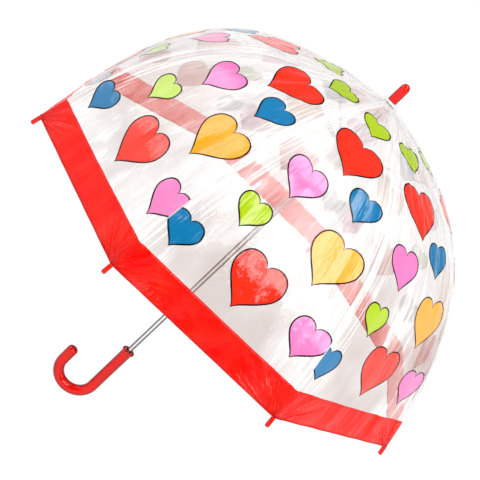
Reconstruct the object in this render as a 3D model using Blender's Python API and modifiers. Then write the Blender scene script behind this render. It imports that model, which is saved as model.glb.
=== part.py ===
"""Child's clear dome umbrella, open, standing upright on its crook handle.

Frame: metres, +Z along the shaft towards the ferrule, shaft axis on X = Y = 0, and Z = 0 at the
lowest point of the crook. The crook bends towards -X. Rib k lies in the upright plane at
22.5 + 45 k degrees from +X. The open umbrella is the rest pose.
"""

import math

import bmesh
import bpy
import numpy as np
from mathutils import Matrix, Vector

# ---- overall sizes -------------------------------------------------------------------------
RIBS = 8
RIM_Z = 0.352
RIM_R = 0.352
CROWN_Z = 0.6685
FILM_THICK = 0.0008
GAP = 0.0003
WELD = 0.000005

# Control points (radius, height above the rim) of the film's outer profile along a rib.
PROFILE = ((0.0, 0.3165), (0.2210, 0.2731), (0.2936, 0.2170), (0.352, 0.0))
PANEL_BULGE = 0.55

# ---- shaft, handle, ferrule ----------------------------------------------------------------
SHAFT_R = 0.0040
SHAFT_WALL = 0.0007
SHAFT_Z = (0.075, 0.690)
BORE_R = SHAFT_R + GAP
GRIP_R = 0.0087
CROOK_R = 0.0305
CROOK_BEVEL = 6
CROOK_STEPS = 18
HANDLE_TOP = 0.1255
COLLAR_R = 0.0107
COLLAR_H = 0.0060
FREE_END_Z = 0.0665
HANDLE_BORE_Z = 0.071
FERRULE_BASE_Z = 0.6717
FERRULE_TIP_Z = 0.7028
FERRULE_R = 0.0073
WASHER_R = 0.0120

# ---- rib and stretcher rods ----------------------------------------------------------------
ROD_R = 0.0014
STRETCHER_R = 0.0012
LEAF_HALF = 0.00045
LEAF_SIDE = 0.0012
EYE_R = 0.0015
PIVOT_R = 0.0115
NOTCH_Z = 0.6590
RIB_DEPTH = FILM_THICK + GAP + ROD_R
FLEX_AT = 0.300
TAB_BACK = 0.0070
TAB_IN = 0.0045

# ---- crown ring, runner, wires, catches ----------------------------------------------------
WIRE_R = 0.0005
WIRE_HOLE_R = 0.0008
NOTCH_TOP = 0.6638
NOTCH_BOTTOM = 0.6510
NOTCH_R = 0.0135
SLOT_HALF = 0.00085
SLOT_FLOOR_R = 0.0093
RUNNER_CROWN = (0.0042, -0.0060)
RUNNER_BOTTOM = -0.0480
RUNNER_SLEEVE_R = 0.0080
RUNNER_LIP_R = 0.0094
KEYWAY_HALF = 0.0011
KEYWAY_R = 0.0071
CATCH_HALF = 0.00045
CATCH_SLOT_HALF = 0.00080
CATCH_LEN = 0.0200
CATCH_BACK = 0.0006
CATCH_OUT = 0.0064
TRAVEL_STOP_ANGLE = math.radians(4.0)

# ---- rib tips ------------------------------------------------------------------------------
TIP_R = 0.0031
TIP_LEN = 0.0146
TIP_BORE_DEPTH = 0.0080

COLOURS = {
    "chrome_tube": ((0.80, 0.81, 0.83), 1.0, 0.12, 1.0),
    "red_plastic": ((0.80, 0.02, 0.01), 0.0, 0.25, 1.0),
    "white_plastic": ((0.86, 0.86, 0.84), 0.0, 0.40, 1.0),
    "white_fibreglass": ((0.90, 0.90, 0.88), 0.0, 0.35, 1.0),
    "steel_wire": ((0.62, 0.63, 0.65), 1.0, 0.25, 1.0),
    "spring_steel": ((0.70, 0.70, 0.71), 1.0, 0.30, 1.0),
    "clear_film": ((0.93, 0.94, 0.95), 0.0, 0.08, 0.3),
}


# ---- scene helpers -------------------------------------------------------------------------
def clear_scene():
    for obj in list(bpy.data.objects):
        bpy.data.objects.remove(obj, do_unlink=True)


def new_collection(name):
    made = bpy.data.collections.new(name)
    bpy.context.scene.collection.children.link(made)
    return made


def new_material(name, slot):
    colour, metallic, roughness, alpha = COLOURS[slot]
    mat = bpy.data.materials.new(name)
    mat.use_nodes = True
    shader = mat.node_tree.nodes["Principled BSDF"]
    shader.inputs["Base Color"].default_value = (*colour, 1.0)
    shader.inputs["Metallic"].default_value = metallic
    shader.inputs["Roughness"].default_value = roughness
    shader.inputs["Alpha"].default_value = alpha
    return mat


def tidy_mesh(mesh):
    """Weld the seams of a mesh and turn its faces outwards."""
    work = bmesh.new()
    work.from_mesh(mesh)
    bmesh.ops.remove_doubles(work, verts=work.verts, dist=WELD)
    bmesh.ops.recalc_face_normals(work, faces=work.faces)
    work.to_mesh(mesh)
    work.free()
    return mesh


def mesh_from(name, verts, faces):
    mesh = bpy.data.meshes.new(name)
    mesh.from_pydata([tuple(v) for v in verts], [], faces)
    return tidy_mesh(mesh)


def shaped_mesh(obj):
    """The closed mesh that an object's curve or modifiers make; the object is removed."""
    PARTS.objects.link(obj)
    bpy.context.view_layer.update()
    shaped = obj.evaluated_get(bpy.context.evaluated_depsgraph_get())
    mesh = bpy.data.meshes.new_from_object(shaped)
    bpy.data.objects.remove(obj, do_unlink=True)
    return tidy_mesh(mesh)


def add_object(name, mesh, slot, origin=(0.0, 0.0, 0.0), turn=0.0):
    """Put a mesh drawn in world place at turn 0 into the scene, its origin moved to `origin`."""
    mesh = mesh.copy()
    mesh.name = name
    mesh.transform(Matrix.Translation(-Vector(origin)))
    mesh.materials.append(new_material(name, slot))
    obj = bpy.data.objects.new(name, mesh)
    obj.matrix_world = Matrix.Rotation(turn, 4, "Z") @ Matrix.Translation(origin)
    PARTS.objects.link(obj)
    return obj


def cut(obj, cutter):
    mod = obj.modifiers.new("cut_" + cutter.name, "BOOLEAN")
    mod.operation = "DIFFERENCE"
    mod.solver = "EXACT"
    mod.object = cutter


def add_cutter(name, mesh):
    obj = bpy.data.objects.new(name, mesh)
    obj.hide_render = True
    obj.display_type = "WIRE"
    CUTTERS.objects.link(obj)
    return obj


# ---- mesh builders -------------------------------------------------------------------------
def lathe(name, profile, sides, closed):
    """Turn (radius, height) points about Z. An open profile starts and ends on the axis."""
    edges = [(k, k + 1) for k in range(len(profile) - 1)]
    if closed:
        edges.append((len(profile) - 1, 0))
    outline = bpy.data.meshes.new(name)
    outline.from_pydata([(radius, 0.0, height) for radius, height in profile], edges, [])
    obj = bpy.data.objects.new(name, outline)
    screw = obj.modifiers.new("turn", "SCREW")
    screw.steps = sides
    screw.render_steps = sides
    screw.use_merge_vertices = True
    screw.merge_threshold = WELD
    return shaped_mesh(obj)


def poly_curve(name, points, radii):
    """A curve object through the points, each with its own share of the bevel."""
    curve = bpy.data.curves.new(name, "CURVE")
    spline = curve.splines.new("POLY")
    spline.points.add(len(points) - 1)
    for point, place, radius in zip(spline.points, points, radii):
        point.co = (*place, 1.0)
        point.radius = radius
    return bpy.data.objects.new(name, curve)


def loft(name, sections):
    """Join equal rings of points into one closed body with flat ends."""
    count = len(sections[0])
    verts = [p for ring in sections for p in ring]
    faces = []
    for row in range(len(sections) - 1):
        for k in range(count):
            nxt = (k + 1) % count
            a = row * count
            b = a + count
            faces.append((a + k, a + nxt, b + nxt, b + k))
    faces.append(tuple(range(count)))
    last = (len(sections) - 1) * count
    faces.append(tuple(last + k for k in reversed(range(count))))
    return mesh_from(name, verts, faces)


def torus(name, radius, thick, height, around=32, sides=6):
    bpy.ops.mesh.primitive_torus_add(major_radius=radius, minor_radius=thick,
                                     major_segments=around, minor_segments=sides)
    made = bpy.context.object
    mesh = made.data
    mesh.name = name
    bpy.data.objects.remove(made, do_unlink=True)
    mesh.transform(Matrix.Translation((0.0, 0.0, height)))
    return mesh


def boxes(name, spans):
    """One mesh of separate boxes, each (x0, x1, y0, y1, z0, z1, turn about Z)."""
    work = bmesh.new()
    for x0, x1, y0, y1, z0, z1, turn in spans:
        made = bmesh.ops.create_cube(work, size=1.0)["verts"]
        size = Matrix.Diagonal((x1 - x0, y1 - y0, z1 - z0, 1.0))
        centre = Matrix.Translation(((x0 + x1) / 2, (y0 + y1) / 2, (z0 + z1) / 2))
        bmesh.ops.transform(work, matrix=Matrix.Rotation(turn, 4, "Z") @ centre @ size, verts=made)
    mesh = bpy.data.meshes.new(name)
    work.to_mesh(mesh)
    work.free()
    return mesh


def bar_section(point, along, half_wide, up, down, side):
    """Eight points around `point` in the rib plane (x, z), square to the direction `along`."""
    normal = (-along[1], along[0])
    ring = []
    for k in range(8):
        angle = math.tau * (k + 0.5) / 8
        reach = up if math.sin(angle) > 0 else down
        lift = reach * math.sin(angle) / math.sin(math.tau * 1.5 / 8)
        wide = half_wide * math.cos(angle) / math.cos(math.tau * 0.5 / 8)
        ring.append((point[0] + normal[0] * lift, side + wide, point[1] + normal[1] * lift))
    return ring


def bar(name, stations):
    """A rod or leaf in the rib plane from (point, along, half_wide, up, down, side) stations."""
    return loft(name, [bar_section(*station) for station in stations])


# ---- profile geometry ----------------------------------------------------------------------
def profile_point(t):
    """Radius and height of the film's outer surface on a rib, t from 0 at the crown to 1."""
    p = np.array(PROFILE)
    weights = ((1 - t) ** 3, 3 * (1 - t) ** 2 * t, 3 * (1 - t) * t**2, t**3)
    r, z = sum(w * q for w, q in zip(weights, p))
    return float(r), float(z) + RIM_Z


def profile_along(t):
    r0, z0 = profile_point(t - 0.0005)
    r1, z1 = profile_point(t + 0.0005)
    size = math.hypot(r1 - r0, z1 - z0)
    return (r1 - r0) / size, (z1 - z0) / size


def inside_profile(t, depth):
    """The point `depth` inside the film's outer surface."""
    r, z = profile_point(t)
    dr, dz = profile_along(t)
    return r + dz * depth, z - dr * depth


def profile_t_at_radius(radius):
    low, high = 0.0, 1.0
    for _ in range(50):
        mid = (low + high) / 2
        low, high = (mid, high) if profile_point(mid)[0] < radius else (low, mid)
    return (low + high) / 2


def step(point, along, distance):
    return point[0] + along[0] * distance, point[1] + along[1] * distance


def direction(start, end):
    size = math.hypot(end[0] - start[0], end[1] - start[1])
    return (end[0] - start[0]) / size, (end[1] - start[1]) / size


NOTCH_PIVOT = (PIVOT_R, NOTCH_Z)
FLEX_PIVOT = inside_profile(FLEX_AT, RIB_DEPTH)
FLEX_ALONG = profile_along(FLEX_AT)


def tab_pivot():
    """Where a stretcher hangs from its rib: a little before the flex pivot and inside it."""
    back = step(FLEX_PIVOT, FLEX_ALONG, -TAB_BACK)
    inward = (FLEX_ALONG[1], -FLEX_ALONG[0])
    return step(back, inward, TAB_IN)


PROFILE_SPEED = 0.53
TAB_PIVOT = tab_pivot()
LINK = math.hypot(TAB_PIVOT[0] - PIVOT_R, NOTCH_Z - TAB_PIVOT[1])
OPEN_ANGLE = math.atan2(TAB_PIVOT[0] - PIVOT_R, NOTCH_Z - TAB_PIVOT[1])
RUNNER_Z = NOTCH_Z - 2 * LINK * math.cos(OPEN_ANGLE)
RUNNER_TRAVEL = 2 * LINK * (math.cos(TRAVEL_STOP_ANGLE) - math.cos(OPEN_ANGLE))
RUNNER_PIVOT = (PIVOT_R, RUNNER_Z)


def rib_turn(k):
    return math.radians(22.5 + 45.0 * k)


# Profile stations that a rib and the film over it share, so that their facets stay parallel.
CROWN_STATIONS = [float(t) for t in np.linspace(profile_t_at_radius(0.030), FLEX_AT - 0.036, 7)]
SKIRT_STATIONS = [float(t) for t in np.linspace(FLEX_AT + 0.024, 1.0, 12)]


# ---- rods ----------------------------------------------------------------------------------
def rounded_start(pivot, along, half_wide, radius, side):
    """Stations that round off a leaf behind its pivot."""
    rows = []
    for back, share in ((0.95, 0.35), (0.70, 0.75), (0.0, 1.0)):
        height = radius * share
        rows.append((step(pivot, along, -radius * back), along, half_wide, height, height, side))
    return rows


def rounded_end(pivot, along, half_wide, radius, side):
    rows = rounded_start(pivot, (-along[0], -along[1]), half_wide, radius, side)
    return [(p, along, w, up, down, s) for p, _, w, up, down, s in reversed(rows)]


def inner_rib_mesh():
    start = direction(NOTCH_PIVOT, inside_profile(CROWN_STATIONS[0], RIB_DEPTH))
    rows = rounded_start(NOTCH_PIVOT, start, LEAF_HALF, EYE_R, 0.0)
    rows.append((step(NOTCH_PIVOT, start, 0.005), start, LEAF_HALF, EYE_R, EYE_R, 0.0))
    rows.append((step(NOTCH_PIVOT, start, 0.009), start, ROD_R, ROD_R, ROD_R, 0.0))
    for t in CROWN_STATIONS:
        point = inside_profile(t, RIB_DEPTH)
        rows.append((point, profile_along(t), ROD_R, ROD_R, ROD_R, 0.0))
    tab = TAB_IN + EYE_R
    for back, down in ((0.0115, ROD_R), (0.0088, tab * 0.8), (0.0078, tab), (0.0062, tab),
                       (0.0052, tab * 0.8), (0.0032, ROD_R)):
        t = FLEX_AT - back / PROFILE_SPEED
        rows.append((inside_profile(t, RIB_DEPTH), FLEX_ALONG, LEAF_HALF, ROD_R, down, 0.0))
    rows += rounded_end(FLEX_PIVOT, FLEX_ALONG, LEAF_HALF, ROD_R, 0.0)
    return bar("inner_rib", rows)


def outer_rib_mesh():
    along = FLEX_ALONG
    rows = rounded_start(FLEX_PIVOT, along, LEAF_HALF, ROD_R, LEAF_SIDE)
    rows.append((step(FLEX_PIVOT, along, 0.003), along, LEAF_HALF, ROD_R, ROD_R, LEAF_SIDE))
    for t in SKIRT_STATIONS:
        point = inside_profile(t, RIB_DEPTH)
        rows.append((point, profile_along(t), ROD_R, ROD_R, ROD_R, 0.0))
    end = step(inside_profile(1.0, RIB_DEPTH), profile_along(1.0), TIP_BORE_DEPTH - 0.001)
    rows.append((end, profile_along(1.0), ROD_R, ROD_R, ROD_R, 0.0))
    return bar("outer_rib", rows)


def stretcher_mesh():
    along = direction(TAB_PIVOT, RUNNER_PIVOT)
    rows = rounded_start(TAB_PIVOT, along, LEAF_HALF, EYE_R * 0.9, -LEAF_SIDE)
    rows.append((step(TAB_PIVOT, along, 0.007), along, LEAF_HALF, EYE_R * 0.9, EYE_R * 0.9, -LEAF_SIDE))
    for part in (0.016, LINK / 2, LINK - 0.010):
        rows.append((step(TAB_PIVOT, along, part), along, STRETCHER_R, STRETCHER_R, STRETCHER_R, 0.0))
    rows.append((step(TAB_PIVOT, along, LINK - 0.006), along, LEAF_HALF, EYE_R, EYE_R, 0.0))
    rows += rounded_end(RUNNER_PIVOT, along, LEAF_HALF, EYE_R, 0.0)
    return bar("stretcher", rows)


def tip_mesh():
    """A red cap over the rib's end, drawn at turn 0 and already leaning along the rib."""
    bore = ROD_R + GAP
    profile = [
        (0.0, TIP_BORE_DEPTH),
        (bore, TIP_BORE_DEPTH),
        (bore, 0.0),
        (TIP_R * 0.88, 0.0),
        (TIP_R * 0.96, TIP_LEN * 0.05),
        (TIP_R, TIP_LEN * 0.40),
        (TIP_R, TIP_LEN * 0.86),
        (TIP_R * 0.85, TIP_LEN * 0.95),
        (TIP_R * 0.50, TIP_LEN * 0.99),
        (0.0, TIP_LEN),
    ]
    mesh = lathe("rib_tip", profile, 12, closed=False)
    dr, dz = profile_along(1.0)
    lean = math.atan2(dr, dz)
    base = step(inside_profile(1.0, RIB_DEPTH), (dr, dz), GAP)
    mesh.transform(Matrix.Rotation(lean, 4, "Y"))
    mesh.transform(Matrix.Translation((base[0], 0.0, base[1])))
    return mesh


# ---- film ----------------------------------------------------------------------------------
def film_radius_share(turn, t):
    """Radius at `turn` from a rib over the radius on the rib: straight hem, fuller above."""
    half = math.pi / RIBS
    chord = math.cos(half) / math.cos(half - abs(turn))
    bulge = PANEL_BULGE * (1.0 - t**3)
    return chord * (1.0 - bulge) + bulge


def film_mesh(name, stations, across_count):
    """A closed shell of film centred on the rib at turn 0, over a list of profile stations."""
    verts = []
    rows, cols = len(stations), across_count + 1
    for depth in (0.0, FILM_THICK):
        for t in stations:
            radius, height = inside_profile(t, depth)
            half = math.pi / RIBS - 0.6 * GAP / radius
            for turn in np.linspace(-half, half, cols):
                r = radius * film_radius_share(turn, t)
                verts.append((r * math.cos(turn), r * math.sin(turn), height))
    size = rows * cols
    faces = []
    for i in range(rows - 1):
        for j in range(across_count):
            a = i * cols + j
            faces.append((a, a + 1, a + cols + 1, a + cols))
            b = a + size
            faces.append((b, b + cols, b + cols + 1, b + 1))
    rim = [j for j in range(cols)]
    rim += [i * cols + cols - 1 for i in range(1, rows)]
    rim += [(rows - 1) * cols + j for j in range(cols - 2, -1, -1)]
    rim += [i * cols for i in range(rows - 2, 0, -1)]
    for k, a in enumerate(rim):
        b = rim[(k + 1) % len(rim)]
        faces.append((a, a + size, b + size, b))
    return mesh_from(name, verts, faces)


# ---- root pieces ---------------------------------------------------------------------------
def handle_path():
    """Centre and radius down the straight grip, round the crook, to the flat free end."""
    collar_low = HANDLE_TOP - COLLAR_H
    centre_z = CROOK_R + GRIP_R
    rows = [((0.0, HANDLE_TOP), COLLAR_R * 0.88),
            ((0.0, HANDLE_TOP - 0.0012), COLLAR_R),
            ((0.0, collar_low + 0.0010), COLLAR_R * 0.96),
            ((0.0, collar_low), GRIP_R),
            ((0.0, (collar_low + centre_z) / 2), GRIP_R),
            ((0.0, centre_z), GRIP_R)]
    for k in range(1, CROOK_STEPS + 1):
        angle = math.pi * k / CROOK_STEPS
        x = -CROOK_R + CROOK_R * math.cos(angle)
        rows.append(((x, centre_z - CROOK_R * math.sin(angle)), GRIP_R))
    for drop, share in ((0.0035, 1.0), (0.0012, 0.92), (0.0, 0.72)):
        rows.append(((-2 * CROOK_R, FREE_END_Z - drop), GRIP_R * share))
    return rows


def handle_mesh():
    path = handle_path()
    points = [(x, 0.0, z) for (x, z), _ in path]
    obj = poly_curve("handle", points, [radius / GRIP_R for _, radius in path])
    obj.data.dimensions = "3D"
    obj.data.bevel_depth = GRIP_R
    obj.data.bevel_resolution = CROOK_BEVEL
    obj.data.use_fill_caps = True
    return shaped_mesh(obj)


def build_handle():
    handle = add_object("crook_handle", handle_mesh(), "red_plastic")
    top = HANDLE_TOP + 0.01
    bore = lathe("handle_bore", [(0.0, HANDLE_BORE_Z), (BORE_R, HANDLE_BORE_Z), (BORE_R, top), (0.0, top)],
                 24, closed=False)
    cut(handle, add_cutter("cut_handle_bore", bore))


def catch_slot(low, high):
    return (0.0018, 0.006, -CATCH_SLOT_HALF, CATCH_SLOT_HALF, low, high, 0.0)


def top_catch_z():
    """Heights of the top catch: its hinge end and its flat step under the open runner."""
    step_z = RUNNER_Z + RUNNER_BOTTOM - 0.0008
    return step_z - CATCH_LEN, step_z


def bottom_catch_z():
    """Heights of the bottom catch: its flat step and, above it, its hinge end."""
    step_z = RUNNER_Z - RUNNER_TRAVEL + RUNNER_BOTTOM + 0.010
    return step_z, step_z + CATCH_LEN


def build_shaft():
    inner = SHAFT_R - SHAFT_WALL
    low, high = SHAFT_Z
    profile = [(inner, low), (SHAFT_R, low), (SHAFT_R, high), (inner, high)]
    shaft = add_object("shaft_tube", lathe("shaft", profile, 24, closed=True), "chrome_tube")
    hinge, step_z = top_catch_z()
    foot, head = bottom_catch_z()
    spans = [catch_slot(hinge - 0.002, step_z + 0.001), catch_slot(foot - 0.001, head + 0.002)]
    cut(shaft, add_cutter("cut_catch_slots", boxes("catch_slots", spans)))


def build_ferrule():
    base, tip = FERRULE_BASE_Z, FERRULE_TIP_Z
    r = FERRULE_R
    profile = [(0.0, SHAFT_Z[1] + GAP), (BORE_R, SHAFT_Z[1] + GAP), (BORE_R, base),
               (r * 0.96, base), (r, base + 0.0012), (r * 0.98, base + 0.010), (r * 0.95, tip - 0.0075)]
    for k in range(1, 6):
        angle = math.pi / 2 * k / 6
        profile.append((r * 0.95 * math.cos(angle), tip - 0.0075 + 0.0075 * math.sin(angle)))
    profile.append((0.0, tip))
    add_object("ferrule_cap", lathe("ferrule", profile, 20, closed=False), "red_plastic")


def build_washer():
    top = FERRULE_BASE_Z - GAP
    base = CROWN_Z + GAP
    profile = [(BORE_R, base), (WASHER_R, base), (WASHER_R, base + 0.0009), (WASHER_R * 0.66, top),
               (BORE_R, top)]
    add_object("crown_washer", lathe("washer", profile, 20, closed=True), "white_plastic")


def spoke_slots(z0, z1):
    """Eight radial slots for rib or stretcher leaves."""
    return [(SLOT_FLOOR_R, 0.02, -SLOT_HALF, SLOT_HALF, z0, z1, rib_turn(k)) for k in range(RIBS)]


def groove(z):
    """Points of a wire groove open to the outside, running down at the pivot radius."""
    half = WIRE_HOLE_R
    floor = PIVOT_R - WIRE_HOLE_R
    return [(floor, z + half), (floor, z - half)]


def build_notch():
    z = NOTCH_Z
    outer = NOTCH_R
    profile = [(BORE_R, NOTCH_TOP), (outer - 0.001, NOTCH_TOP), (outer, NOTCH_TOP - 0.001),
               (outer, z + WIRE_HOLE_R), *groove(z), (outer, z - WIRE_HOLE_R),
               (outer, z - 0.0035), (0.0070, z - 0.0050), (0.0070, NOTCH_BOTTOM), (BORE_R, NOTCH_BOTTOM)]
    notch = add_object("crown_notch", lathe("notch", profile, 32, closed=True), "white_plastic")
    slots = boxes("notch_slots", spoke_slots(NOTCH_BOTTOM - 0.01, NOTCH_TOP + 0.01))
    cut(notch, add_cutter("cut_notch_slots", slots))
    add_object("notch_wire", torus("notch_wire", PIVOT_R, WIRE_R, z), "steel_wire")


def build_runner():
    z = RUNNER_Z
    top, low = z + RUNNER_CROWN[0], z + RUNNER_CROWN[1]
    bottom = z + RUNNER_BOTTOM
    outer = NOTCH_R
    sleeve = RUNNER_SLEEVE_R
    profile = [(BORE_R, top), (outer - 0.001, top), (outer, top - 0.001), (outer, z + WIRE_HOLE_R),
               *groove(z), (outer, z - WIRE_HOLE_R), (outer, low + 0.0012), (sleeve, low - 0.002),
               (sleeve, bottom + 0.007), (RUNNER_LIP_R, bottom + 0.004), (RUNNER_LIP_R, bottom + 0.001),
               (RUNNER_LIP_R - 0.001, bottom), (BORE_R, bottom)]
    origin = (0.0, 0.0, z)
    runner = add_object("runner", lathe("runner", profile, 32, closed=True), "white_plastic", origin)
    cut(runner, add_cutter("cut_runner_slots", boxes("runner_slots", spoke_slots(low - 0.01, top + 0.01))))
    keyway = boxes("keyway", [(0.0, KEYWAY_R, -KEYWAY_HALF, KEYWAY_HALF, bottom - 0.01, top + 0.01, 0.0)])
    cut(runner, add_cutter("cut_keyway", keyway))
    add_object("runner_wire", torus("runner_wire", PIVOT_R, WIRE_R, z), "steel_wire", origin)


def catch_mesh(hinge_z, step_z):
    """A flat sprung catch: thin at its hinge end, with a ramp out to a square step."""
    way = 1.0 if step_z > hinge_z else -1.0
    outline = [(CATCH_BACK, hinge_z), (0.0028, hinge_z), (0.0033, hinge_z + way * 0.006),
               (CATCH_OUT, step_z - way * 0.0020), (CATCH_OUT, step_z), (0.0010, step_z)]
    obj = poly_curve("catch", [(x, z, 0.0) for x, z in outline], [1.0] * len(outline))
    obj.data.splines[0].use_cyclic_u = True
    obj.data.dimensions = "2D"
    obj.data.fill_mode = "BOTH"
    obj.data.extrude = CATCH_HALF
    mesh = shaped_mesh(obj)
    mesh.transform(Matrix.Rotation(math.pi / 2, 4, "X"))
    return mesh


def build_catches():
    for name, (hinge_z, step_z) in (("top_catch", top_catch_z()),
                                    ("bottom_catch", tuple(reversed(bottom_catch_z())))):
        add_object(name, catch_mesh(hinge_z, step_z), "spring_steel", (0.0017, 0.0, hinge_z))


def build_ribs():
    """The repeated set: two rib lengths, stretcher, tip and two pieces of film per rib."""
    notch_hole = add_cutter("cut_notch_eyes", torus("notch_eyes", PIVOT_R, WIRE_HOLE_R, NOTCH_Z, 48, 8))
    runner_hole = add_cutter("cut_runner_eyes", torus("runner_eyes", PIVOT_R, WIRE_HOLE_R, RUNNER_Z, 48, 8))
    inner, outer = inner_rib_mesh(), outer_rib_mesh()
    stretcher, tip = stretcher_mesh(), tip_mesh()
    joint_gap = 0.0005
    crown_stations = [profile_t_at_radius(0.0062), *CROWN_STATIONS, FLEX_AT - joint_gap]
    skirt_stations = [FLEX_AT + joint_gap, *SKIRT_STATIONS]
    crown_film = film_mesh("crown_film", crown_stations, 4)
    skirt_film = film_mesh("skirt_film", skirt_stations, 4)
    notch_at = (NOTCH_PIVOT[0], 0.0, NOTCH_PIVOT[1])
    flex_at = (FLEX_PIVOT[0], 0.0, FLEX_PIVOT[1])
    tab_at = (TAB_PIVOT[0], 0.0, TAB_PIVOT[1])
    for k in range(RIBS):
        label = str(k + 1)
        turn = rib_turn(k)
        rib = add_object("upper_rib_" + label, inner, "white_fibreglass", notch_at, turn)
        cut(rib, notch_hole)
        add_object("lower_rib_" + label, outer, "white_fibreglass", flex_at, turn)
        arm = add_object("stretcher_" + label, stretcher, "steel_wire", tab_at, turn)
        cut(arm, runner_hole)
        add_object("rib_tip_" + label, tip, "red_plastic", flex_at, turn)
        add_object("crown_film_" + label, crown_film, "clear_film", notch_at, turn)
        add_object("skirt_film_" + label, skirt_film, "clear_film", flex_at, turn)


clear_scene()
PARTS = new_collection("childs_dome_umbrella")
CUTTERS = new_collection("cutters")
build_handle()
build_shaft()
build_ferrule()
build_washer()
build_notch()
build_runner()
build_catches()
build_ribs()
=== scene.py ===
"""Looks of the child's clear dome umbrella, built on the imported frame.

Every size is in metres in the frame's own coordinates: +Z along the shaft, ribs at 22.5 + 45 k
degrees. Film pieces are open sheets; each rib carries the half panel on either side of it.
"""

import math

import bmesh
import bpy
import numpy as np
from mathutils import Matrix, Vector


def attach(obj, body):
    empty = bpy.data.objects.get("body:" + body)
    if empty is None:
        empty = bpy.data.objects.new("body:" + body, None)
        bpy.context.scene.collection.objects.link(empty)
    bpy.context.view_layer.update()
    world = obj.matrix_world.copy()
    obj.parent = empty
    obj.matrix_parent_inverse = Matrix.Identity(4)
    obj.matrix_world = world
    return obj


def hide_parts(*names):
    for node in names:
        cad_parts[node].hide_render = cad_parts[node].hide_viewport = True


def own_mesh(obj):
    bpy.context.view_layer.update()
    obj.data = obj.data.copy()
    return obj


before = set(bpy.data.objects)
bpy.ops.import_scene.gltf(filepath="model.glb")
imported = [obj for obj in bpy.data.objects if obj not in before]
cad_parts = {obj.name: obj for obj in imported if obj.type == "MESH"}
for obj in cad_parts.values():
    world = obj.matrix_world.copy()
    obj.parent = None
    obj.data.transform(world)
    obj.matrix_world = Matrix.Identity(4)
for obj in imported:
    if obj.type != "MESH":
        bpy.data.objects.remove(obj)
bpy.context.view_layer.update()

# ---- the umbrella's own sizes, as in the frame ---------------------------------------------
RIBS = 8
HALF_PANEL = math.pi / RIBS
RIM_Z = 0.352
# Control points of the rib's curve from crown to rim: radius, height above the rim.
PROFILE = ((0.0, 0.3165), (0.2210, 0.2731), (0.2936, 0.2170), (0.352, 0.0))
# How far a panel swells at the crown, from 0 for a straight line between ribs to 1 for a circle.
PANEL_BULGE = 0.55
# Where along the profile the rib flexes, and the radius of the hole in the film at the crown.
FLEX_AT = 0.300
HOLE_R = 0.0062
ROD_R = 0.0014
FILM_THICK = 0.0008
GAP = 0.0003
RIB_DEPTH = FILM_THICK + GAP + ROD_R

SHAFT_R = 0.0040
GRIP_R = 0.0087
CROOK_R = 0.0305
HANDLE_TOP = 0.1255
COLLAR_R = 0.0107
COLLAR_LEN = 0.014
FREE_END_Z = 0.0665
END_ROUND = 0.0050
FERRULE_Z = (0.6717, 0.7028)
FERRULE_R = 0.0073
FERRULE_ROUND = 0.0072
TIP_R = 0.0031
TIP_LEN = 0.0146

# The red band, the folded hem and the seam strips over the ribs. The strips' start below the
# crown hole, gap at the flex and lap over the band are steps of the profile's own parameter.
BAND_WIDTH = 0.0435
HEM_R = 0.00055
HEM_STRETCH = 1.3
TAPE_HALF = 0.0048
TAPE_LIFT = 0.00020
TAPE_START = 0.004
TAPE_GAP = 0.0019
TAPE_LAP = 0.001

# Small waves of the film: heights off its smooth surface, and how far from a rib they are full.
PUCKER_HEIGHT = 0.0013
FOLD_HEIGHT = 0.00040
LONG_WAVE = 0.00045
SHORT_WAVE = 0.00030
CALM_AT_RIB = 0.012

# The radius that turns an azimuth into metres on the Round map.
UV_RADIUS = 0.30

# One panel's printed hearts: colour, distance across from the panel's middle, distance down
# from the crown to the heart's centre, and height. Every panel carries the same print.
HEARTS = (
    ("blue", -0.102, 0.427, 0.046),
    ("lime", -0.057, 0.352, 0.045),
    ("red", 0.005, 0.414, 0.074),
    ("pink", -0.035, 0.276, 0.058),
    ("orange", 0.060, 0.329, 0.072),
    ("pink", 0.103, 0.420, 0.054),
    ("red", -0.001, 0.188, 0.076),
    ("blue", 0.046, 0.244, 0.050),
    ("lime", 0.000, 0.103, 0.047),
)
INK = {
    "red": (0.90, 0.018, 0.001),
    "pink": (0.84, 0.185, 0.46),
    "lime": (0.38, 0.54, 0.001),
    "blue": (0.000, 0.160, 0.360),
    "orange": (0.98, 0.35, 0.006),
}
# How far each panel's print is turned from its panel's middle, in radians.
PRINT_TURN = (0.0, 0.010, -0.008, 0.0, 0.006, 0.012, -0.014, -0.046)
# One panel was welded in with its print the other way round.
PRINT_SIDE = (1, 1, 1, 1, -1, 1, 1, 1)
INK_ORDER = ("red", "pink", "lime", "blue", "orange")
OUTLINE_WIDTH = 0.0021
PRINT_LIFT = 0.00035
# How far the print keeps from a rib's seam, in radians.
PRINT_EDGE = 0.0020


# ---- profile and film surface --------------------------------------------------------------
def profile(t):
    """Radius and height of the film on a rib, for an array of t from 0 at the crown to 1."""
    t = np.asarray(t, float)[..., None]
    p = np.array(PROFILE)
    rz = (1 - t) ** 3 * p[0] + 3 * (1 - t) ** 2 * t * p[1] + 3 * (1 - t) * t**2 * p[2] + t**3 * p[3]
    return rz[..., 0], rz[..., 1] + RIM_Z


FINE_T = np.linspace(0.0, 1.0, 2001)
FINE_R, FINE_Z = profile(FINE_T)
FINE_S = np.concatenate([[0.0], np.cumsum(np.hypot(np.diff(FINE_R), np.diff(FINE_Z)))])
ARC = float(FINE_S[-1])


def t_at_arc(s):
    return np.interp(s, FINE_S, FINE_T)


def arc_at_t(t):
    return np.interp(t, FINE_T, FINE_S)


def radius_at_t(t):
    return np.interp(t, FINE_T, FINE_R)


def rib_azimuth(k):
    return HALF_PANEL * (2 * k + 1)


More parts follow.
